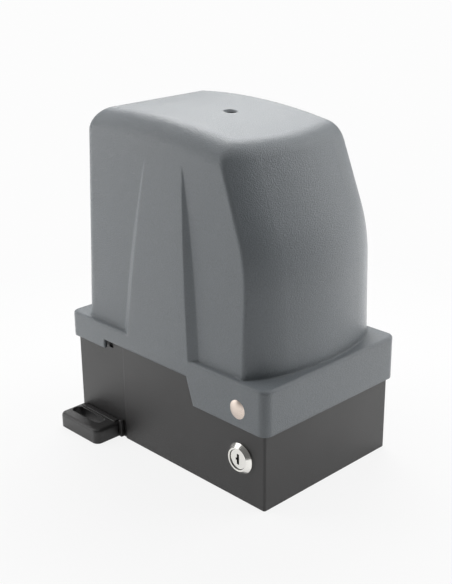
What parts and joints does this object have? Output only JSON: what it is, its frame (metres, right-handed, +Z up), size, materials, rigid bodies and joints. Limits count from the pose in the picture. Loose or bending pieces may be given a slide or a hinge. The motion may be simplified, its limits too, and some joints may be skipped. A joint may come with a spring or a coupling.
{
  "type": "sliding gate motor",
  "caption": "Upright geared motor for a sliding gate: tray base with slotted feet, lift-off tapered cover, key release and an output pinion that drives a toothed rack.",
  "frame": {"origin": "middle of the base's bottom face", "axes": "+X along the gate towards the bulging front, +Y towards the gate (pinion side), +Z up"},
  "size_m": [0.252, 0.225, 0.304],
  "materials": {
    "cover_plastic": "matte, fine moulded grain",
    "base_plastic": "satin black, moulded",
    "nickel": "polished nickel plating",
    "plug_metal": "polished, slightly warm",
    "steel": "machined steel",
    "zinc": "bright zinc plated",
    "dark_steel": "blackened steel",
    "casting": "as-cast aluminium",
    "bronze": "cut bronze",
    "copper": "varnished copper winding",
    "laminations": "stacked electrical steel",
    "rubber": "soft black rubber",
    "tray_plastic": "black moulded plastic",
    "circuit_board": "green solder mask",
    "relay_plastic": "glossy black",
    "terminal_plastic": "green polyamide",
    "capacitor_skin": "pale moulded case",
    "fan_plastic": "grey-black polyamide",
    "glass_fuse": "glass and ceramic"
  },
  "bodies": {
    "housing": {"base_housing": "base_plastic", "cable_grommet": "rubber", "lock_body": "nickel", "lock_nut": "zinc", "bar_guides": "zinc", "fork_rod": "steel", "gear_case": "casting", "gear_case_lid": "casting", "lid_screws": "zinc", "case_bolts": "zinc", "hub_bearing": "steel", "shaft_bearing": "steel", "shaft_seal": "rubber", "worm_bearing": "steel", "flange_bearing": "steel", "bell_bearing": "steel", "motor_housing": "casting", "motor_bell": "casting", "motor_bolts": "zinc", "stator_core": "laminations", "stator_windings": "copper", "cover_post": "zinc", "transformer_core": "laminations", "transformer_coil": "copper", "capacitor": "capacitor_skin", "capacitor_clamp": "tray_plastic", "board_carrier": "tray_plastic", "control_board": "circuit_board", "board_screws": "zinc", "relays": "relay_plastic", "terminal_blocks": "terminal_plastic", "heat_sink": "dark_steel", "fuse_holder": "glass_fuse", "limit_sensor": "tray_plastic"},
    "cover": {"cover_shell": "cover_plastic", "cover_screw": "dark_steel", "collar_plug": "plug_metal"},
    "rotor": {"worm_shaft": "steel", "rotor_core": "laminations", "motor_fan": "fan_plastic"},
    "wheel": {"worm_wheel": "bronze", "wheel_hub": "steel"},
    "output": {"output_shaft": "steel", "shaft_key": "steel", "circlip": "dark_steel", "pinion": "zinc", "pinion_screw": "zinc"},
    "dog": {"clutch_dog": "steel"},
    "key_barrel": {"lock_plug": "nickel", "lock_cam": "zinc"},
    "bar": {"release_bar": "zinc"},
    "fork": {"release_fork": "zinc"}
  },
  "joints": [
    {"name": "cover_lift", "type": "slide", "parent": "housing", "child": "cover", "axis": [0, 0, 1], "range_m": [0, 0.24]},
    {"name": "rotor_spin", "type": "hinge", "parent": "housing", "child": "rotor", "pos_m": [0.034, 0.012, 0.15], "axis": [0, 0, 1], "continuous": true},
    {"name": "wheel_spin", "type": "hinge", "parent": "housing", "child": "wheel", "pos_m": [-0.02, 0.012, 0.056], "axis": [0, 1, 0], "continuous": true},
    {"name": "output_spin", "type": "hinge", "parent": "housing", "child": "output", "pos_m": [-0.02, 0.012, 0.056], "axis": [0, 1, 0], "continuous": true},
    {"name": "dog_slide", "type": "slide", "parent": "output", "child": "dog", "axis": [0, -1, 0], "range_m": [0, 0.00401]},
    {"name": "key_turn", "type": "hinge", "parent": "housing", "child": "key_barrel", "pos_m": [0.0945, -0.07, 0.0396], "axis": [0, 1, 0], "range_deg": [0, 90]},
    {"name": "bar_slide", "type": "slide", "parent": "housing", "child": "bar", "axis": [1, 0, 0], "range_m": [0, 0.01132]},
    {"name": "fork_slide", "type": "slide", "parent": "housing", "child": "fork", "axis": [0, -1, 0], "range_m": [0, 0.00401]}
  ],
  "couplings": [
    {"joint": "wheel_spin", "follows": "rotor_spin", "ratio": 0.03125},
    {"joint": "output_spin", "follows": "rotor_spin", "ratio": 0.03125},
    {"joint": "key_turn", "follows": "bar_slide", "rad_per_m": 138.84},
    {"joint": "fork_slide", "follows": "bar_slide", "ratio": 0.35355},
    {"joint": "dog_slide", "follows": "bar_slide", "ratio": 0.35355}
  ]
}
